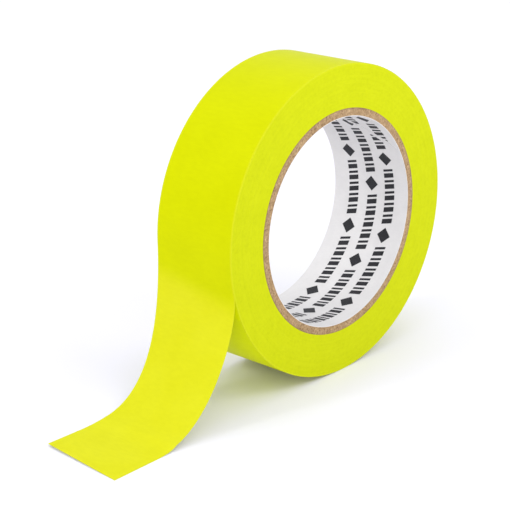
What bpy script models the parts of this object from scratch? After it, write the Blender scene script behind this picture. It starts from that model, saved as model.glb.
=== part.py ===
"""A roll of paper masking tape, standing on its rim with the end of the tape pulled down to the floor.

Metres, +Z up.  The floor is z = 0 and the roll's axis runs along Y, above the origin.
The front side face looks along -Y, and the tape leaves the roll on the -X side.
"""

import math

import bmesh
import bpy
from mathutils import Vector

MM = 0.001

# Driving dimensions.
TAPE_WIDTH = 35.0 * MM
TAPE_THICKNESS = 0.095 * MM
ROLL_RADIUS = 56.8 * MM              # outside of the winding
BORE_RADIUS = 38.1 * MM              # three inch core
LINER_THICKNESS = 0.2 * MM           # printed paper ply inside the core
PLY_COUNT = 5                        # board plies of the core
PLY_THICKNESS = 0.54 * MM
PLY_GAP = 0.02 * MM                  # glue line between plies
OUTER_TURN_COUNT = 10                # turns that stay with the tail when the roll turns
TURNING_GAP = 0.07 * MM              # lets the winding turn inside the outer turns
FLATS = 72                           # flats on every round piece, one of them facing the floor

SEAM_GAP = 0.3 * MM                  # butt joint of a ply's two edges
SEAM_SLANT = math.radians(40.0)      # the plies are wound as a spiral tube
SEAM_STEP = math.radians(68.0)       # each ply's seam is turned on from the one inside it
LINER_SEAM_ANGLE = math.radians(52.0)

# The tail leaves the roll at PEEL_ANGLE and sweeps down and out on one smooth curve to the floor.
PEEL_ANGLE = math.radians(185.3)
PEEL_PULL = 18.6 * MM                # how far the curve keeps its first direction
LANDING_PULL = 30.7 * MM             # how far it keeps its last direction
LANDING_X = -94.9 * MM               # where the tail starts to lie flat
TAIL_END_X = -111.7 * MM             # middle of the cut end
END_SKEW = 2.0 * MM                  # the front corner of the cut end lies further out
TAIL_SHEET = 0.1 * MM                # thickness of the tail's solids
HINGE_GAP = 0.3 * MM                 # clearance round the tail and between its lengths
BEND_AT = 0.60                       # place of the tail's bend along the curve, 0 to 1
CURVE_STEPS = 30

AXIS = Vector((0.0, 0.0, ROLL_RADIUS))

COLOURS = {
    "tape_yellow": ((0.80, 0.83, 0.03, 1.0), 0.55),
    "board_brown": ((0.45, 0.32, 0.21, 1.0), 0.90),
    "liner_white": ((0.74, 0.75, 0.76, 1.0), 0.60),
}


def clear_scene():
    for obj in list(bpy.data.objects):
        bpy.data.objects.remove(obj, do_unlink=True)


def material_for(name, look):
    """One Principled material for one piece."""
    colour, roughness = COLOURS[look]
    mat = bpy.data.materials.new(name + "_" + look)
    mat.use_nodes = True
    shader = mat.node_tree.nodes["Principled BSDF"]
    shader.inputs["Base Color"].default_value = colour
    shader.inputs["Roughness"].default_value = roughness
    shader.inputs["Metallic"].default_value = 0.0
    mat.diffuse_color = colour
    return mat


def add_object(name, bm, look, origin, parent):
    """Make an object of a mesh in world coordinates, with its origin at a point of the world."""
    bmesh.ops.translate(bm, verts=bm.verts, vec=-origin)
    bmesh.ops.recalc_face_normals(bm, faces=bm.faces)
    mesh = bpy.data.meshes.new(name)
    bm.to_mesh(mesh)
    bm.free()
    mesh.shade_smooth()
    mesh.set_sharp_from_angle(angle=math.radians(30.0))
    mesh.materials.append(material_for(name, look))
    obj = bpy.data.objects.new(name, mesh)
    bpy.context.scene.collection.objects.link(obj)
    place(obj, origin, parent)
    return obj


def place(obj, point, parent):
    """Put an object at a point of the world, under a parent that is only moved, never turned."""
    if parent is None:
        obj.location = point
        return
    obj.parent = parent
    above = Vector((0.0, 0.0, 0.0))
    holder = parent
    while holder is not None:
        above += holder.location
        holder = holder.parent
    obj.location = point - above


def ring_point(radius, index, y):
    """A corner of a ring whose flats, not its corners, are at the given radius."""
    angle = 2.0 * math.pi * (index + 0.5) / FLATS
    corner = radius / math.cos(math.pi / FLATS)
    return AXIS + Vector((corner * math.cos(angle), y, corner * math.sin(angle)))


def add_ring(name, inner, outer, look, parent):
    """A flat-sided ring about the roll's axis, as wide as the tape."""
    bm = bmesh.new()
    half = TAPE_WIDTH / 2.0
    section = [(inner, -half), (outer, -half), (outer, half), (inner, half)]
    loops = [[bm.verts.new(ring_point(r, i, y)) for i in range(FLATS)] for r, y in section]
    for a, b in zip(loops, loops[1:] + loops[:1]):
        for i in range(FLATS):
            j = (i + 1) % FLATS
            bm.faces.new((a[i], a[j], b[j], b[i]))
    return add_object(name, bm, look, AXIS, parent)


def cut_seam(ring, inner, outer, angle):
    """Open a ring along a slanted butt joint, as the edges of a spiral-wound ply meet."""
    margin = 2.0 * MM
    bm = bmesh.new()
    bmesh.ops.create_cube(bm, size=1.0)
    length = TAPE_WIDTH / math.cos(SEAM_SLANT) * 1.25
    reach = (outer - inner) + 2.0 * margin + inner * (1.0 - math.cos(SEAM_SLANT))
    bmesh.ops.scale(bm, verts=bm.verts, vec=(reach, length, SEAM_GAP))
    mesh = bpy.data.meshes.new(ring.name + "_seam_cutter")
    bm.to_mesh(mesh)
    bm.free()
    cutter = bpy.data.objects.new(ring.name + "_seam_cutter", mesh)
    bpy.context.scene.collection.objects.link(cutter)
    middle = outer + margin - reach / 2.0
    cutter.location = AXIS + Vector((middle * math.cos(angle), 0.0, middle * math.sin(angle)))
    cutter.rotation_mode = "XYZ"
    cutter.rotation_euler = (SEAM_SLANT, -angle, 0.0)
    cutter.hide_render = True
    cutter.display_type = "WIRE"
    cut = ring.modifiers.new("seam", "BOOLEAN")
    cut.operation = "DIFFERENCE"
    cut.solver = "EXACT"
    cut.object = cutter


def build_core(parent):
    """The printed liner inside, and the board plies wound round it."""
    inner = BORE_RADIUS
    outer = inner + LINER_THICKNESS
    liner = add_ring("core_liner", inner, outer, "liner_white", parent)
    cut_seam(liner, inner, outer, LINER_SEAM_ANGLE)
    for number in range(1, PLY_COUNT + 1):
        inner = outer + PLY_GAP
        outer = inner + PLY_THICKNESS
        ply = add_ring("core_ply_%d" % number, inner, outer, "board_brown", parent)
        cut_seam(ply, inner, outer, LINER_SEAM_ANGLE + SEAM_STEP * number)
    return outer


def build_winding(core_radius, parent):
    """All the turns under the outer ones."""
    outer = ROLL_RADIUS - OUTER_TURN_COUNT * TAPE_THICKNESS - TURNING_GAP
    add_ring("wound_tape", core_radius + PLY_GAP, outer, "tape_yellow", parent)


def tail_curve(t):
    """A point of the tail's middle line, in X and Z, from the peel line (0) to the floor (1)."""
    peel = Vector((math.cos(PEEL_ANGLE), math.sin(PEEL_ANGLE)))
    along = Vector((-peel.y, peel.x))
    reach = ROLL_RADIUS + HINGE_GAP + TAIL_SHEET / 2.0
    start = Vector((AXIS.x, AXIS.z)) + peel * reach
    landing = Vector((LANDING_X, TAIL_SHEET / 2.0))
    handles = (start, start + along * PEEL_PULL, landing + Vector((LANDING_PULL, 0.0)), landing)
    weights = ((1 - t) ** 3, 3 * (1 - t) ** 2 * t, 3 * (1 - t) * t * t, t ** 3)
    return sum((p * w for p, w in zip(handles, weights)), Vector((0.0, 0.0)))


def tail_point(t):
    """The same point in the world, at the middle of the tape's width."""
    point = tail_curve(t)
    return Vector((point.x, 0.0, point.y))


def shorten(points, start_gap, end_gap):
    """Take a little off the two ends of a line of points."""
    points = [p.copy() for p in points]
    points[0] += (points[1] - points[0]).normalized() * start_gap
    points[-1] += (points[-2] - points[-1]).normalized() * end_gap
    return points


def add_strip(name, line, skew, origin, parent):
    """A length of tape: a thin sheet that follows a line in X and Z, with a skewed far end."""
    bm = bmesh.new()
    half = TAPE_WIDTH / 2.0
    rows = []
    for i, point in enumerate(line):
        before = line[max(i - 1, 0)]
        after = line[min(i + 1, len(line) - 1)]
        along = (after - before).normalized()
        side = Vector((-along.y, along.x)) * (TAIL_SHEET / 2.0)
        lean = skew / 2.0 if i == len(line) - 1 else 0.0
        row = []
        for offset in (side, -side):
            for y in (-half, half):
                shift = lean * (1.0 if y > 0.0 else -1.0)
                row.append(bm.verts.new((point.x + offset.x + shift, y, point.y + offset.y)))
        rows.append(row)
    for a, b in zip(rows, rows[1:]):
        for c, d in ((0, 1), (1, 3), (3, 2), (2, 0)):
            bm.faces.new((a[c], a[d], b[d], b[c]))
    for row in (rows[0], rows[-1]):
        bm.faces.new((row[0], row[1], row[3], row[2]))
    return add_object(name, bm, "tape_yellow", origin, parent)


def build_tail(outer_turns):
    """Three lengths of free tape, each hinged to the one before."""
    bend_step = round(BEND_AT * CURVE_STEPS)
    curve = [tail_curve(i / CURVE_STEPS) for i in range(CURVE_STEPS + 1)]
    upper_line = shorten(curve[:bend_step + 1], HINGE_GAP, HINGE_GAP / 2.0)
    sweep_line = shorten(curve[bend_step:], HINGE_GAP / 2.0, HINGE_GAP / 2.0)
    foot_line = [curve[-1], Vector((TAIL_END_X, TAIL_SHEET / 2.0))]
    foot_line = shorten(foot_line, HINGE_GAP / 2.0, 0.0)

    upper = add_strip("tail_upper", upper_line, 0.0, tail_point(0.0), outer_turns)
    sweep = add_strip("tail_sweep", sweep_line, 0.0, tail_point(bend_step / CURVE_STEPS), upper)
    add_strip("tail_foot", foot_line, END_SKEW, tail_point(1.0), sweep)


def build():
    clear_scene()
    roll_axis = bpy.data.objects.new("roll_axis", None)
    bpy.context.scene.collection.objects.link(roll_axis)
    roll_axis.location = AXIS
    core_radius = build_core(roll_axis)
    build_winding(core_radius, roll_axis)

    turns = OUTER_TURN_COUNT * TAPE_THICKNESS
    outer_turns = add_ring("outer_turns", ROLL_RADIUS - turns, ROLL_RADIUS, "tape_yellow", None)
    build_tail(outer_turns)


build()
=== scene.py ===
"""Looks of the paper masking tape roll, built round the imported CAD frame.

Metres, +Z up. The floor is z = 0, the roll's axis runs along Y above the origin, the front side face
looks along -Y and the tape leaves the roll on the -X side.
"""
import math

import bmesh
import bpy
import numpy as np
from mathutils import Matrix, Vector


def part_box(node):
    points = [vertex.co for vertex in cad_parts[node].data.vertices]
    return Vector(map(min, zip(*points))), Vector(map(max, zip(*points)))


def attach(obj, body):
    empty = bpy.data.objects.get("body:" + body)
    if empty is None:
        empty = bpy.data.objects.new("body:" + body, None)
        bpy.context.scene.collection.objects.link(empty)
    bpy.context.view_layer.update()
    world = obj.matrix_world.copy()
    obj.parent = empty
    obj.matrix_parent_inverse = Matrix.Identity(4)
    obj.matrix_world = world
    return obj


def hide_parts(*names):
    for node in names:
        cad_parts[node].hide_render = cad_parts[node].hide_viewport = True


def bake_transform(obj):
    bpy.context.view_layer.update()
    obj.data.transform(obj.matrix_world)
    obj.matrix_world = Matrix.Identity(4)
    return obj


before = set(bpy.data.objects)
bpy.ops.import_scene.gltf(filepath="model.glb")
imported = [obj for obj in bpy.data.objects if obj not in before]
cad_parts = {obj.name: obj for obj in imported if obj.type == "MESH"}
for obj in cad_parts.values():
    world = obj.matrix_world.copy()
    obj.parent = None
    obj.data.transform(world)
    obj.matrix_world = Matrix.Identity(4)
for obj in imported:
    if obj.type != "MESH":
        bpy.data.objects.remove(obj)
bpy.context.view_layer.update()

MM = 0.001


def outer_radius(node):
    """Radius of a round CAD node about the roll's axis."""
    low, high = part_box(node)
    return (high.x - low.x) / 2.0


# Sizes that the frame gives.
ring_low, ring_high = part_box("outer_turns")
ROLL_RADIUS = outer_radius("outer_turns")
AXIS_Z = (ring_low.z + ring_high.z) / 2.0
TAPE_WIDTH = ring_high.y - ring_low.y
HALF = TAPE_WIDTH / 2.0
PLY_NODES = sorted(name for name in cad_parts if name.startswith("core_ply_"))
LINER_OUTER = outer_radius("core_liner")
CORE_RADIUS = outer_radius(PLY_NODES[-1])

# Sizes of the finer surface.
TAPE = 0.095 * MM                       # thickness of the tape
LINER = 0.2 * MM                        # thickness of the printed paper
BORE_RADIUS = LINER_OUTER - LINER
WINDING_RADIUS = ROLL_RADIUS - TAPE     # everything under the last turn
SEAM_SLANT = math.radians(40.0)         # the plies are wound as a spiral tube
SEAM_STEP = math.radians(68.0)          # each ply's seam is turned on from the one inside it
LINER_SEAM = math.radians(52.0)
ROUND_STATIONS = 288                    # sections round the core and round the winding
SHEET_COLUMNS = 15                      # points across the last turn and the free tape
SHARP_ANGLE = math.radians(35.0)        # faces that meet at more than this are shaded with an edge

# The camera stands where the photographer stood.
CAMERA_AIM = Vector((-16.17, 9.87, 42.80)) * MM
CAMERA_AZIMUTH = math.radians(-46.59)
CAMERA_HEIGHT = math.radians(19.93)
CAMERA_ROLL = math.radians(-1.47)
CAMERA_DISTANCE = 566.6 * MM
CAMERA_LENS = 110.5


def make_camera():
    """A camera that looks at CAMERA_AIM, turned a little about its own line of sight."""
    away = Vector((
        math.sin(CAMERA_AZIMUTH) * math.cos(CAMERA_HEIGHT),
        -math.cos(CAMERA_AZIMUTH) * math.cos(CAMERA_HEIGHT),
        math.sin(CAMERA_HEIGHT),
    ))
    camera = bpy.data.objects.new("camera", bpy.data.cameras.new("camera"))
    bpy.context.scene.collection.objects.link(camera)
    camera.data.lens = CAMERA_LENS
    camera.data.sensor_width = 36.0
    camera.data.clip_start = 0.01
    camera.data.clip_end = 50.0
    turn = away.to_track_quat("Z", "Y").to_matrix() @ Matrix.Rotation(CAMERA_ROLL, 3, "Z")
    camera.matrix_world = Matrix.Translation(CAMERA_AIM + away * CAMERA_DISTANCE) @ turn.to_4x4()
    bpy.context.scene.camera = camera


# ---------------------------------------------------------------- materials

class Nodes:
    """A short way to write a node material."""

    def __init__(self, name):
        self.mat = bpy.data.materials.new(name)
        self.mat.use_nodes = True
        self.tree = self.mat.node_tree
        self.shader = self.tree.nodes["Principled BSDF"]
        self.place = self.add("ShaderNodeTexCoord").outputs["Object"]

    def add(self, kind, **settings):
        node = self.tree.nodes.new(kind)
        for key, value in settings.items():
            setattr(node, key, value)
        return node

    def link(self, source, target):
        self.tree.links.new(source, target)

    def set(self, **values):
        """Fixed values of the shader's own sockets; an underscore stands for a space."""
        for key, value in values.items():
            self.shader.inputs[key.replace("_", " ")].default_value = value

    def math(self, operation, a, b=None):
        """A sum on one or two values; each may be a number or the output of a node."""
        node = self.add("ShaderNodeMath", operation=operation)
        for socket, value in zip(node.inputs, (a, b)):
            if value is None:
                continue
            if isinstance(value, (int, float)):
                socket.default_value = value
            else:
                self.link(value, socket)
        return node.outputs["Value"]

    def noise(self, scale, detail=3.0, roughness=0.55, vector=None, stretch=None):
        """Noise over the object's own space; scale is in features for each metre."""
        vector = vector or self.place
        if stretch:
            mapping = self.add("ShaderNodeMapping")
            mapping.inputs["Scale"].default_value = stretch
            self.link(vector, mapping.inputs["Vector"])
            vector = mapping.outputs["Vector"]
        node = self.add("ShaderNodeTexNoise")
        node.inputs["Scale"].default_value = scale
        node.inputs["Detail"].default_value = detail
        node.inputs["Roughness"].default_value = roughness
        self.link(vector, node.inputs["Vector"])
        return node.outputs["Fac"]

    def ramp(self, value, *stops):
        """A colour ramp; each stop is (position, (r, g, b))."""
        node = self.add("ShaderNodeValToRGB")
        elements = node.color_ramp.elements
        while len(elements) < len(stops):
            elements.new(0.5)
        for element, (position, colour) in zip(elements, stops):
            element.position = position
            element.color = (*colour, 1.0)
        self.link(value, node.inputs["Fac"])
        return node.outputs["Color"]

    def mix(self, factor, a, b, blend="MIX"):
        """One colour over another; each may be a colour or the output of a node."""
        node = self.add("ShaderNodeMix", data_type="RGBA", blend_type=blend)
        for name, value in (("Factor", factor), ("A", a), ("B", b)):
            socket = node.inputs[name]
            if isinstance(value, (int, float)):
                socket.default_value = value
            elif isinstance(value, tuple):
                socket.default_value = (*value, 1.0)
            else:
                self.link(value, socket)
        return node.outputs["Result"]

    def times(self, a, b):
        return self.mix(1.0, a, b, "MULTIPLY")

    def radius(self):
        """Distance from the roll's axis, in millimetres."""
        parts = self.add("ShaderNodeSeparateXYZ")
        self.link(self.place, parts.inputs["Vector"])
        x = self.math("MULTIPLY", parts.outputs["X"], 1000.0)
        z = self.math("MULTIPLY", self.math("SUBTRACT", parts.outputs["Z"], AXIS_Z), 1000.0)
        square = self.math("ADD", self.math("MULTIPLY", x, x), self.math("MULTIPLY", z, z))
        return self.math("SQRT", square)

    def span(self, value, low, high):
        """0 below low, 1 above high, smooth between."""
        node = self.add("ShaderNodeMapRange", interpolation_type="SMOOTHSTEP")
        node.inputs["From Min"].default_value = low
        node.inputs["From Max"].default_value = high
        self.link(value, node.inputs["Value"])
        return node.outputs["Result"]

    def outer_band(self, radius, depth):
        """0 nearer to the axis, rising to 1 at a radius over a depth in millimetres."""
        return self.span(self.radius(), radius / MM - depth, radius / MM)

    def edge_band(self, depth):
        """0 over the tape's width, rising to 1 at its two edges over a depth in millimetres."""
        parts = self.add("ShaderNodeSeparateXYZ")
        self.link(self.place, parts.inputs["Vector"])
        y = self.math("MULTIPLY", self.math("ABSOLUTE", parts.outputs["Y"]), 1000.0)
        return self.span(y, HALF / MM - depth, HALF / MM)

    def attribute(self, name):
        """A number that the mesh keeps on its points."""
        return self.add("ShaderNodeAttribute", attribute_name=name).outputs["Fac"]

    def rings(self, pitch, detail=2.0):
        """Noise that only changes with the distance from the axis: one value for each ring."""
        line = self.add("ShaderNodeCombineXYZ")
        self.link(self.math("DIVIDE", self.radius(), pitch), line.inputs["X"])
        return self.noise(1.0, detail=detail, vector=line.outputs["Vector"])

    def bump(self, height, distance, strength=1.0):
        node = self.add("ShaderNodeBump")
        node.inputs["Strength"].default_value = strength
        node.inputs["Distance"].default_value = distance
        self.link(height, node.inputs["Height"])
        self.link(node.outputs["Normal"], self.shader.inputs["Normal"])

    def colour(self, source):
        self.link(source, self.shader.inputs["Base Color"])


def tape_material():
    """The backing of the tape: smooth, dense paper, yellow through and through.

    On the roll the turns below deepen its colour; free tape is paler with painted light, as if lit
    through.
    Painted light brightens the rim under the hanging tape; a painted highlight runs along both edges.
    """
    m = Nodes("tape_backing")
    cloud = m.noise(70.0)
    fibre = m.noise(850.0, detail=4.0, stretch=(1.0, 0.35, 1.0))
    stuck = m.ramp(cloud, (0.3, (0.536, 0.571, 0.0)), (0.7, (0.556, 0.592, 0.0005)))
    # Painted light: under the hanging tape the rim lies in shade and is given this brighter colour.
    painted_light_under_tail = m.ramp(cloud, (0.3, (0.715, 0.790, 0.0)), (0.7, (0.735, 0.810, 0.0)))
    stuck = m.mix(m.attribute("painted_light_under_tail"), stuck, painted_light_under_tail)
    # Painted light: free tape is paler, as if lit through from behind, and paler still lying on the floor.
    free = m.ramp(cloud, (0.3, (0.600, 0.598, 0.010)), (0.7, (0.618, 0.616, 0.015)))
    flat = m.ramp(cloud, (0.3, (0.616, 0.612, 0.010)), (0.7, (0.636, 0.632, 0.015)))
    body = m.mix(m.attribute("flat"), m.mix(m.attribute("free"), stuck, free), flat)
    # Painted highlight: a lighter band along both edges of the tape.
    painted_edge_light = m.mix(m.math("MULTIPLY", m.edge_band(0.9), 0.5), body, (0.60, 0.62, 0.02))
    fine = m.ramp(fibre, (0.35, (0.965, 0.967, 0.95)), (0.65, (1.0, 1.0, 1.0)))
    m.colour(m.times(painted_edge_light, fine))
    m.set(Roughness=0.40, Specular_IOR_Level=0.02)
    m.bump(fibre, 0.02 * MM, 0.30)
    return m.mat


def winding_material():
    """The wound edges of the tape: matt, with the fine rings of the single turns."""
    m = Nodes("tape_edges")
    coarse = m.rings(1.1)
    fine = m.rings(0.13, detail=1.0)
    patch = m.noise(260.0, detail=4.0)
    speck = m.noise(900.0)
    soft = m.ramp(coarse, (0.3, (0.498, 0.547, 0.0003)), (0.7, (0.532, 0.579, 0.0015)))
    lines = m.ramp(fine, (0.3, (0.945, 0.95, 0.90)), (0.7, (1.0, 1.0, 1.0)))
    dust = m.ramp(
        speck, (0.30, (0.955, 0.96, 0.85)), (0.46, (1.0, 1.0, 1.0)), (0.62, (1.02, 1.02, 1.4)))
    worn = m.ramp(patch, (0.35, (0.98, 0.982, 0.8)), (0.65, (1.018, 1.015, 1.5)))
    body = m.times(m.times(m.times(soft, lines), dust), worn)
    # Painted highlight: a lighter band on the side face just inside the rim.
    rim = m.math("MULTIPLY", m.outer_band(ROLL_RADIUS, 0.8), 0.5)
    m.colour(m.mix(rim, body, (0.60, 0.64, 0.02)))
    m.set(Roughness=0.7, Specular_IOR_Level=0.10)
    m.bump(fine, 0.03 * MM, 0.4)
    return m.mat


def adhesive_material():
    """The adhesive side: a clear tacky film on the paper, so it is glossier and paler than the backing."""
    m = Nodes("tape_adhesive")
    cloud = m.noise(260.0, detail=4.0)
    m.colour(m.ramp(cloud, (0.3, (0.60, 0.62, 0.16)), (0.7, (0.64, 0.66, 0.22))))
    m.set(Roughness=0.28, Specular_IOR_Level=0.5)
    m.bump(m.noise(1500.0, detail=2.0), 0.02 * MM, 0.3)
    return m.mat


def board_material():
    """Brown core board: pressed waste paper, with light and dark fibres and painted shade at its outside.
    """
    m = Nodes("core_board")
    cloud = m.noise(420.0)
    fibre = m.noise(1250.0, detail=4.0, roughness=0.7)
    base = m.ramp(cloud, (0.3, (0.305, 0.196, 0.099)), (0.7, (0.400, 0.272, 0.148)))
    specks = m.ramp(
        fibre, (0.32, (0.42, 0.36, 0.30)), (0.45, (0.92, 0.92, 0.92)), (0.56, (1.08, 1.08, 1.08)),
        (0.70, (1.65, 1.70, 1.7)))
    # Painted shade: darker towards the board's outside, in the gap next to the tape.
    gap_shade = m.math("MULTIPLY", m.outer_band(CORE_RADIUS, 0.55), 0.55)
    m.colour(m.mix(gap_shade, m.times(base, specks), (0.20, 0.12, 0.05)))
    m.set(Roughness=0.92, Specular_IOR_Level=0.15)
    m.bump(fibre, 0.06 * MM, 0.6)
    return m.mat


def liner_material():
    """White machine-finished paper."""
    m = Nodes("liner_paper")
    cloud = m.noise(160.0)
    fibre = m.noise(1800.0, stretch=(1.0, 0.4, 1.0))
    base = m.ramp(cloud, (0.3, (0.664, 0.651, 0.640)), (0.7, (0.698, 0.685, 0.672)))
    fine = m.ramp(fibre, (0.3, (0.965, 0.965, 0.965)), (0.7, (1.0, 1.0, 1.0)))
    m.colour(m.times(base, fine))
    m.set(Roughness=0.5, Specular_IOR_Level=0.3)
    m.bump(fibre, 0.02 * MM, 0.3)
    return m.mat


def ink_material():
    """Black printing ink, slightly broken where it sits on the paper's fibres."""
    m = Nodes("print_ink")
    cloud = m.noise(2600.0)
    m.colour(m.ramp(cloud, (0.3, (0.012, 0.012, 0.014)), (0.75, (0.030, 0.030, 0.034))))
    m.set(Roughness=0.5, Specular_IOR_Level=0.2)
    return m.mat


# ---------------------------------------------------------------- mesh tools

def smooth(x):
    """0 to 1 with no corner at either end."""
    x = np.clip(x, 0.0, 1.0)
    return x * x * (3.0 - 2.0 * x)


def polar(radius, angle, y):
    """A point at a distance from the roll's axis. All three may be arrays."""
    return np.stack(np.broadcast_arrays(
        radius * np.cos(angle), y, AXIS_Z + radius * np.sin(angle)), axis=-1)


def sweep(name, sections, wrap, materials, face_material=None):
    """A closed solid through a row of closed sections, each with the same number of points.

    sections has the shape (stations, points, 3). With wrap the last station joins the first.
    face_material gives the material slot of each strip of faces round the section.
    """
    stations, points, _ = sections.shape
    faces = []
    slots = []
    last = stations if wrap else stations - 1
    for i in range(last):
        a = i * points
        b = ((i + 1) % stations) * points
        for j in range(points):
            k = (j + 1) % points
            faces.append((a + j, a + k, b + k, b + j))
            slots.append(face_material[j] if face_material is not None else 0)
    if not wrap:
        end = (stations - 1) * points
        faces.append(tuple(range(points))[::-1])
        faces.append(tuple(range(end, end + points)))
        slots += [slots[0], slots[0]]
    mesh = bpy.data.meshes.new(name)
    mesh.from_pydata(sections.reshape(-1, 3).tolist(), [], faces)
    mesh.polygons.foreach_set("material_index", slots)
    return finish_mesh(name, mesh, materials)


def finish_mesh(name, mesh, materials):
    """Face the mesh outwards, shade it smooth up to real edges and put it in the scene."""
    bm = bmesh.new()
    bm.from_mesh(mesh)
    bmesh.ops.recalc_face_normals(bm, faces=bm.faces)
    bm.to_mesh(mesh)
    bm.free()
    mesh.shade_smooth()
    mesh.set_sharp_from_angle(angle=SHARP_ANGLE)
    for material in materials:
        mesh.materials.append(material)
    obj = bpy.data.objects.new(name, mesh)
    bpy.context.scene.collection.objects.link(obj)
    return obj


def keep_on_points(obj, name, values):
    """Store a number on each point of the mesh, for the material to read."""
    obj.data.attributes.new(name, "FLOAT", "POINT").data.foreach_set("value", values.ravel())


# ---------------------------------------------------------------- the core

SEAM_GAP = 0.12 * MM
SLANT_FADE = 60.0 * MM      # the mesh lines turn from the seam's slant to straight across over this
GLUE_LINE = 0.006 * MM      # taken off each side of a board ply
BOARD_ROUGH = 0.012 * MM    # unevenness of a board ply's cut edges
LINER_ROUGH = 0.006 * MM
LINER_LIFT = 0.10 * MM      # how far the liner's free edge rises at its seam
LIFT_REACH = 1.6 * MM       # and over what length that dies away
WALL_LAYERS = 4             # points through the thickness of a ply's cut edge


def cored_ring(name, inner, outer, seam, materials, rng, columns, lift=0.0, rough=0.0):
    """A thin tube wall, open along a slanted seam, with slightly uneven cut edges.

    lift raises the wall into the bore on one side of the seam, as the free edge of a paper ply rises.
    """
    across = np.linspace(-HALF, HALF, columns)
    layers = np.linspace(inner, outer, WALL_LAYERS)
    section = [(inner, y) for y in across] + [(r, HALF) for r in layers[1:]]
    section += [(outer, y) for y in across[::-1][1:]] + [(r, -HALF) for r in layers[::-1][1:-1]]
    radius = np.array([p[0] for p in section])[None, :]
    y = np.array([p[1] for p in section])[None, :]
    middle = (inner + outer) / 2.0
    gap = SEAM_GAP / middle
    share = np.linspace(0.0, 1.0, ROUND_STATIONS)[:, None]
    away = np.minimum(share, 1.0 - share) * 2.0 * math.pi * middle
    slant = y * math.tan(SEAM_SLANT) / middle * (1.0 - smooth(away / SLANT_FADE))
    angle = seam + slant + gap / 2.0 + share * (2.0 * math.pi - gap)
    radius = radius - lift * np.exp(-away / LIFT_REACH) * (share > 0.5)
    noise = rng.normal(0.0, rough, (ROUND_STATIONS, len(section)))
    on_face = np.abs(np.abs(y) - HALF) < 1e-9
    y = y + noise * on_face * np.sign(y)
    return sweep(name, polar(radius, angle, y), False, materials)


def make_core():
    """The board plies and the liner, each on its own CAD node."""
    rng = np.random.default_rng(7)
    board = board_material()
    inner = LINER_OUTER
    for number, node in enumerate(PLY_NODES, start=1):
        outer = outer_radius(node)
        ply = cored_ring(
            "board_" + node, inner + GLUE_LINE, outer - GLUE_LINE, LINER_SEAM + SEAM_STEP * number,
            [board], rng, columns=9, rough=BOARD_ROUGH)
        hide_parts(node)
        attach(ply, "roll")
        inner = outer
    liner = cored_ring(
        "printed_liner", BORE_RADIUS, LINER_OUTER, LINER_SEAM, [liner_material()], rng,
        columns=36, lift=LINER_LIFT, rough=LINER_ROUGH)
    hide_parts("core_liner")
    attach(liner, "roll")


# ---------------------------------------------------------------- the print

PRINT_PITCH = math.radians(46.0)
PRINT_STEPS = range(-8, 2)                 # repeats of the print, enough to go once round
# Each row's place across the width and the angle of one of its diamonds.
PRINT_ROWS = (
    (8.2 * MM, math.radians(21.6)),
    (-0.6 * MM, math.radians(3.0)),
    (-9.0 * MM, math.radians(20.9)),
)
PRINT_DRIFT = 2.7 * MM / (2.0 * math.pi)   # the rows climb a little round the bore
PRINT_LEVEL = -0.35                        # the angle, in radians, where a row is at its own place
PRINT_MARGIN = 0.35 * MM                   # left clear at the seam
INK_LIFT = 0.006 * MM                      # the film of ink stands this far off the liner
INK = 0.018 * MM                           # and is this thick
MARK = 3.0 * MM                            # half the diagonal of the diamond
MARK_GAP = 1.1 * MM
BAR_HEIGHT = 4.5 * MM
BAR_LEAN = 1.1 * MM
BAR_WIDTHS = (1.85 * MM, 0.95 * MM)        # a thick bar and a thin one by turns
BAR_GAPS = (0.72 * MM, 0.96 * MM)
PAIRS = 5


def row_marks():
    """One repeat of the print, a diamond and pairs of slanted bars, as outlines in arc and width."""
    outlines = [[(-MARK, 0.0), (0.0, -MARK), (MARK, 0.0), (0.0, MARK)]]
    at = MARK + MARK_GAP
    for _ in range(PAIRS):
        for width, gap in zip(BAR_WIDTHS, BAR_GAPS):
            top = BAR_HEIGHT / 2.0
            outlines.append([
                (at, top), (at + width, top), (at + width + BAR_LEAN, -top), (at + BAR_LEAN, -top)])
            at += width + gap
    return outlines


def clip(outline, inside, cross):
    """The part of a convex outline on one side of a line; cross gives where an edge meets the line."""
    kept = []
    for a, b in zip(outline, outline[1:] + outline[:1]):
        if inside(a):
            kept.append(a)
        if inside(a) != inside(b):
            kept.append(cross(a, b))
    return kept


def side_of_seam(start):
    """How far past the seam's slanted line a point is, and where an edge crosses that line.

    start is the arc length at which the line crosses the middle of the width.
    """
    slope = math.tan(SEAM_SLANT)

    def distance(p):
        return p[0] - start - p[1] * slope

    def cross(a, b):
        share = distance(a) / (distance(a) - distance(b))
        return (a[0] + (b[0] - a[0]) * share, a[1] + (b[1] - a[1]) * share)

    return distance, cross


def make_print():
    """Black marks on the liner, in three rows that run round the bore and stop at its seam."""
    reach = BORE_RADIUS
    above, cross_low = side_of_seam((LINER_SEAM - 2.0 * math.pi) * reach + PRINT_MARGIN)
    below, cross_high = side_of_seam(LINER_SEAM * reach - PRINT_MARGIN)
    vertices = []
    faces = []
    for row_y, first in PRINT_ROWS:
        for step in PRINT_STEPS:
            centre = first + step * PRINT_PITCH
            row_height = row_y + PRINT_DRIFT * (centre - PRINT_LEVEL)
            for outline in row_marks():
                placed = [(centre * reach + u, row_height + v) for u, v in outline]
                placed = clip(placed, lambda p: above(p) >= 0.0, cross_low)
                placed = clip(placed, lambda p: below(p) <= 0.0, cross_high) if placed else []
                if len(placed) < 3:
                    continue
                add_ink(placed, reach, vertices, faces)
    mesh = bpy.data.meshes.new("liner_print")
    mesh.from_pydata(vertices, [], faces)
    marks = finish_mesh("liner_print", mesh, [ink_material()])
    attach(marks, "roll")


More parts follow.
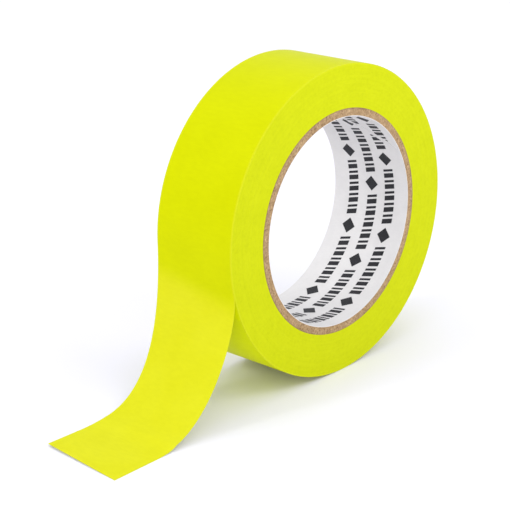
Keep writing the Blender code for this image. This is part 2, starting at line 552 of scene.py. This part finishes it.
def add_ink(outline, reach, vertices, faces):
    """One mark as a closed film of ink on the inside of the bore, each side a fan about its middle."""
    first = len(vertices)
    count = len(outline)
    middle = (sum(p[0] for p in outline) / count, sum(p[1] for p in outline) / count)
    for radius in (reach - INK_LIFT, reach - INK_LIFT - INK):
        for u, y in outline + [middle]:
            vertices.append(tuple(polar(radius, u / reach, y)))
    top = first + count + 1
    for i in range(count):
        j = (i + 1) % count
        faces.append((first + j, first + i, first + count))
        faces.append((top + i, top + j, top + count))
        faces.append((first + i, first + j, top + j, top + i))


# ---------------------------------------------------------------- the winding

RING_GROUPS = 84                        # groups of turns with their own relief on a side face
GROUP_RELIEF = 0.018                    # how far they stand out or in, in millimetres
TURN_RELIEF = 0.007
SMOOTH_GROUPS = 5                       # neighbours that stand out or in together
SWAY = 0.008 * MM                       # how far each wanders on its way round
FACE_INSET = 0.04 * MM                  # the faces are set in, so their relief stays near the tape's width
FACE_EDGE = 0.08 * MM                   # the relief stops this far short of the rim
CORNER_DROP = 0.01 * MM                 # the corner between face and rim: how far in from the rim,
CORNER_INSET = 0.045 * MM               # and how far in from the tape's width
RIM_INSET = 0.07 * MM                   # where the rim itself begins
CORE_GAP = 0.01 * MM
PAINTED_LIGHT_FROM = math.radians(180.0)      # under the tail, painted light brightens the winding from here
PAINTED_LIGHT_RISE = math.radians(12.0)
PAINTED_LIGHT_TO = math.radians(258.0)        # and the last turn up to here
PAINTED_LIGHT_FADE = math.radians(30.0)


def make_winding(edge_material, tape):
    """All turns but the last: flat side faces with the faint relief of groups of turns."""
    rng = np.random.default_rng(11)
    inner = CORE_RADIUS + CORE_GAP
    outer = WINDING_RADIUS
    rings = np.linspace(inner, outer - FACE_EDGE, RING_GROUPS)
    spare = 4
    single = rng.normal(0.0, 1.0, RING_GROUPS + 2 * spare)
    average = np.convolve(single, np.ones(SMOOTH_GROUPS) / SMOOTH_GROUPS, "same")
    group = average[spare:spare + RING_GROUPS]
    fine = rng.normal(0.0, 1.0, (2, RING_GROUPS))
    phase = rng.uniform(0.0, 2.0 * math.pi, (2, RING_GROUPS))
    theta = (np.arange(ROUND_STATIONS) / ROUND_STATIONS * 2.0 * math.pi)[:, None]
    faces = []
    corners = []
    for side, sign in enumerate((-1.0, 1.0)):
        relief = (GROUP_RELIEF * group + TURN_RELIEF * fine[side])[None, :] * MM
        sway = SWAY * np.sin(theta + phase[side][None, :])
        faces.append(polar(rings[None, :], theta, sign * (HALF - FACE_INSET + relief + sway)))
        corners.append(polar(np.array([[outer - CORNER_DROP]]), theta, sign * (HALF - CORNER_INSET)))
    rim = polar(np.array([[outer]]), theta, np.array([[-HALF + RIM_INSET, 0.0, HALF - RIM_INSET]]))
    loop = np.concatenate([faces[0], corners[0], rim, corners[1], faces[1][:, ::-1]], axis=1)
    over_rim = 4                        # strips from corner to corner, which look like the tape's backing
    slots = [0] * RING_GROUPS + [1] * over_rim
    slots += [0] * (loop.shape[1] - len(slots))
    winding = sweep("tape_winding", loop, True, [edge_material, tape], slots)
    # Painted light: the rim under the tail is marked for a brighter colour.
    painted_light_under_tail = smooth((theta - PAINTED_LIGHT_FROM) / PAINTED_LIGHT_RISE) + np.zeros(loop.shape[1])
    keep_on_points(winding, "painted_light_under_tail", painted_light_under_tail)
    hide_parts("wound_tape")
    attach(winding, "roll")


# ---------------------------------------------------------------- the last turn and the tail

JOIN = math.radians(168.0)              # the last turn and the free tape are one surface here
UNDER = math.radians(202.0)             # under the tail, the last turn runs level with the winding
CREASE_X = -85.0 * MM                   # the tape breaks over a faint line before it lies flat
REST_HEIGHT = TAPE + 0.02 * MM          # outer side of tape that lies on the floor
TURN_GAP = 0.003 * MM                   # between the winding and the last turn's inner side
TURN_START = 0.002 * MM                 # thickness of the last turn where it begins
ROWS_PITCH = 0.4 * MM                   # length of a row of the free tape's faces
ARC_POINTS = 60                         # points of an edge's path where it still lies on the roll
CURVE_POINTS = 240                      # and along each stretch after that
TAIL_CUTS = (44.0 * MM, 76.0 * MM)      # where the free tape is parted, between its hinges
FREE_FROM = (191.6, 184.6)              # front and back edge, degrees: where painted through-light starts to make it paler
FREE_RAMP = 9.5 * MM                    # and over what length it does
FLAT_RAMP = 1.6 * MM                    # past the crease it lies on the floor, and painted light from the floor makes it paler still
# Each edge of the free tape, as the strip sweeps down and out: the angle where it leaves the roll,
# how far the curve keeps that direction, how far it keeps the slope at the crease, that slope and
# height, where it settles, how high it lies there, and where it is cut.
EDGES = {
    "front": dict(
        leave=191.3, start=10.0 * MM, land=19.5 * MM, slope=15.8, crease=1.85 * MM,
        settle=(-87.6 * MM, -94.0 * MM), lie=REST_HEIGHT, tip=(-112.7 * MM, REST_HEIGHT)),
    "back": dict(
        leave=179.6, start=18.7 * MM, land=25.1 * MM, slope=6.4, crease=1.29 * MM,
        settle=(-89.7 * MM, -95.1 * MM), lie=0.61 * MM, tip=(-110.7 * MM, 0.95 * MM)),
}
EDGE_Y = {"front": -HALF, "back": HALF}


def cubic(a, b, c, d, t):
    """Points of a curve from a to d that sets out towards b and arrives from c."""
    t = t[:, None]
    return (1 - t) ** 3 * a + 3 * (1 - t) ** 2 * t * b + 3 * (1 - t) * t * t * c + t ** 3 * d


def quadratic(a, b, c, t):
    """Points of a curve from a to c that bends towards b."""
    t = t[:, None]
    return (1 - t) ** 2 * a + 2 * (1 - t) * t * b + t * t * c


def edge_path(leave, start, land, slope, crease, settle, lie, tip):
    """The outer side of one edge of the tape, in X and Z, from JOIN to the cut end."""
    leave = math.radians(leave)
    slope = math.radians(slope)
    arc = np.linspace(JOIN, leave, ARC_POINTS)
    on_roll = np.stack([ROLL_RADIUS * np.cos(arc), AXIS_Z + ROLL_RADIUS * np.sin(arc)], axis=1)
    away = np.array([-math.sin(leave), math.cos(leave)])
    fold = np.array([CREASE_X, crease])
    back = np.array([math.cos(slope), math.sin(slope)])
    t = np.linspace(0.0, 1.0, CURVE_POINTS)[1:]
    drop = cubic(on_roll[-1], on_roll[-1] + away * start, fold + back * land, fold, t)
    landing = quadratic(fold, np.array([settle[0], lie]), np.array([settle[1], lie]), t)
    flat = np.array([settle[1], lie]) * (1.0 - t[:, None]) + np.array(tip) * t[:, None]
    return np.concatenate([on_roll, drop, landing, flat])


class TapePath:
    """The free tape as a surface: a distance along it and a place across it give a point."""

    def __init__(self):
        self.lines = {}
        for name, shape in EDGES.items():
            points = edge_path(**shape)
            steps = np.hypot(*np.diff(points, axis=0).T)
            self.lines[name] = (np.concatenate([[0.0], np.cumsum(steps)]), points, EDGE_Y[name])
        self.length = max(along[-1] for along, _, _ in self.lines.values())

    def edge(self, name, share, low, high):
        """Points of an edge between two distances, cut off where the edge ends."""
        along, points, y = self.lines[name]
        s = low + share * (min(high, along[-1]) - low)
        x = np.interp(s, along, points[:, 0])
        z = np.interp(s, along, points[:, 1])
        return np.stack([x, np.full_like(x, y), z], axis=1)

    def surface(self, low, high, stations, across):
        """A grid of points of the outer side, straight from edge to edge."""
        share = np.linspace(0.0, 1.0, stations)
        front = self.edge("front", share, low, high)
        back = self.edge("back", share, low, high)
        v = np.linspace(0.0, 1.0, across)[None, :, None]
        return front[:, None, :] * (1.0 - v) + back[:, None, :] * v

    def freedom(self, low, high, stations, across):
        """For the same grid, how much the tape has come off the roll: 0 stuck, 1 free."""
        s = low + np.linspace(0.0, 1.0, stations)[:, None] * (high - low)
        v = np.linspace(0.0, 1.0, across)[None, :]
        start = [(math.radians(angle) - JOIN) * ROLL_RADIUS for angle in FREE_FROM]
        return smooth((s - (start[0] * (1.0 - v) + start[1] * v)) / FREE_RAMP)


def normals_of(grid):
    """Outward normals of a grid that runs down the tape and across it."""
    along = np.gradient(grid, axis=0)
    across = np.gradient(grid, axis=1)
    normal = np.cross(across, along)
    return normal / np.linalg.norm(normal, axis=2, keepdims=True)


def there_and_back(outer_side, inner_side):
    """Closed sections round a sheet: across its outer side and back along its inner side."""
    return np.concatenate([outer_side, inner_side[:, ::-1]], axis=1)


def make_sheet(name, outer_side, inner_side, tape, adhesive):
    """A solid sheet between two grids, with the backing outside and the adhesive inside."""
    slots = [0] * SHEET_COLUMNS + [1] * (SHEET_COLUMNS - 1) + [0]
    return sweep(name, there_and_back(outer_side, inner_side), False, [tape, adhesive], slots)


def make_strip(name, path, low, high, tape, adhesive):
    """A length of free tape that keeps on its points where it is off the roll and where it lies flat."""
    stations = int((high - low) / ROWS_PITCH)
    grid = path.surface(low, high, stations, SHEET_COLUMNS)
    strip = make_sheet(name, grid, grid - normals_of(grid) * TAPE, tape, adhesive)
    # These marks place painted light: paler where the tape is off the roll, paler still where it lies
    # flat.
    free = path.freedom(low, high, stations, SHEET_COLUMNS)
    flat = smooth((CREASE_X - grid[:, :, 0]) / FLAT_RAMP)
    keep_on_points(strip, "free", there_and_back(free, free))
    keep_on_points(strip, "flat", there_and_back(flat, flat))
    return strip


def make_last_turn(tape, adhesive):
    """The outermost turn, from level with the winding under the tail to the start of the free tape."""
    stations = 720
    theta = np.linspace(UNDER, JOIN + 2.0 * math.pi, stations)[:, None]
    share = np.linspace(0.0, 1.0, stations)[:, None]
    inner = WINDING_RADIUS + TURN_GAP
    outer = inner + TURN_START + share * (ROLL_RADIUS - inner - TURN_START)
    y = np.linspace(-HALF, HALF, SHEET_COLUMNS)[None, :]
    inner_side = polar(np.full_like(outer, inner), theta, y)
    turn = make_sheet("last_turn", polar(outer, theta, y), inner_side, tape, adhesive)
    # Painted light: the last turn under the tail is marked for a brighter colour.
    painted_light_under_tail = smooth((PAINTED_LIGHT_TO - theta) / PAINTED_LIGHT_FADE) + np.zeros_like(y)
    keep_on_points(turn, "painted_light_under_tail", there_and_back(painted_light_under_tail, painted_light_under_tail))
    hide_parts("outer_turns")
    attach(turn, "outer_turns")


def make_tail(tape, adhesive):
    """The free tape in three lengths, parted between its hinges."""
    path = TapePath()
    first_cut, second_cut = TAIL_CUTS
    upper = make_strip("tail_root", path, 0.0, first_cut, tape, adhesive)
    middle = make_strip("tail_middle", path, first_cut, second_cut, tape, adhesive)
    end = make_strip("tail_end", path, second_cut, path.length, tape, adhesive)
    for piece, node in ((upper, "tail_upper"), (middle, "tail_sweep"), (end, "tail_foot")):
        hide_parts(node)
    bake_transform(upper)
    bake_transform(middle)
    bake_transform(end)


# ---------------------------------------------------------------- stage

FLOOR_REACH = 6.0
FLOOR_DROP = 0.02 * MM                  # the floor lies this far under the roll, so the two never meet


def make_floor():
    """A wide white floor."""
    m = Nodes("floor")
    m.set(Base_Color=(0.812, 0.804, 0.865, 1.0), Roughness=0.9, Specular_IOR_Level=0.1)
    mesh = bpy.data.meshes.new("floor")
    far = FLOOR_REACH
    corners = [(-far, -far, 0.0), (far, -far, 0.0), (far, far, 0.0), (-far, far, 0.0)]
    mesh.from_pydata(corners, [], [(0, 1, 2, 3)])
    mesh.materials.append(m.mat)
    floor = bpy.data.objects.new("floor", mesh)
    bpy.context.scene.collection.objects.link(floor)
    floor.location.z = -FLOOR_DROP


def area_light(name, place, aim, size, power):
    """A soft box that is aimed at a point, and which the camera doesn't see."""
    data = bpy.data.lights.new(name, "AREA")
    data.shape = "RECTANGLE"
    data.size, data.size_y = size
    data.energy = power
    light = bpy.data.objects.new(name, data)
    bpy.context.scene.collection.objects.link(light)
    light.location = place
    light.rotation_mode = "QUATERNION"
    light.rotation_quaternion = (Vector(place) - Vector(aim)).to_track_quat("Z", "Y")
    light.visible_camera = False


def sun_light(name, towards, angle, strength):
    """Even light from one direction; its angle, in degrees, sets how soft its shadows are."""
    data = bpy.data.lights.new(name, "SUN")
    data.angle = math.radians(angle)
    data.energy = strength
    light = bpy.data.objects.new(name, data)
    bpy.context.scene.collection.objects.link(light)
    light.rotation_mode = "QUATERNION"
    light.rotation_quaternion = Vector(towards).to_track_quat("Z", "Y")


def make_world():
    """A studio tent: a white horizon, dimmer walls and a bright roof."""
    world = bpy.data.worlds.new("studio")
    world.use_nodes = True
    nodes = world.node_tree.nodes
    links = world.node_tree.links
    direction = nodes.new("ShaderNodeTexCoord")
    parts = nodes.new("ShaderNodeSeparateXYZ")
    ramp = nodes.new("ShaderNodeValToRGB")
    links.new(direction.outputs["Generated"], parts.inputs["Vector"])
    links.new(parts.outputs["Z"], ramp.inputs["Fac"])
    links.new(ramp.outputs["Color"], nodes["Background"].inputs["Color"])
    stops = ((0.05, (1.04, 1.045, 1.07)), (0.22, (0.76, 0.765, 0.80)), (0.55, (1.165, 1.175, 1.225)))
    ramp.color_ramp.elements.new(0.5)
    for element, (position, colour) in zip(ramp.color_ramp.elements, stops):
        element.position = position
        element.color = (*colour, 1.0)
    bpy.context.scene.world = world


def make_light():
    """Even light from all round, three suns from the left, and two lamps on the side face."""
    make_world()
    sun_light("key", (-1.1, 0.45, 1.0), 9.0, 0.35)
    sun_light("left", (-1.2, 0.2, 0.8), 90.0, 0.20)
    sun_light("fill", (-0.70, -0.69, 0.15), 40.0, 1.0)
    area_light("front", (0.05, -0.42, 0.55), (0.0, 0.0, 0.08), (0.3, 0.2), 0.5)
    area_light("top_of_face", (0.01, -0.16, 0.15), (0.0, 0.0, 0.09), (0.08, 0.08), 0.045)
    bpy.context.scene.view_settings.view_transform = "Standard"
    bpy.context.scene.view_settings.look = "None"


make_camera()
tape_backing = tape_material()
tape_adhesive = adhesive_material()
make_core()
make_print()
make_winding(winding_material(), tape_backing)
make_last_turn(tape_backing, tape_adhesive)
make_tail(tape_backing, tape_adhesive)
make_floor()
make_light()
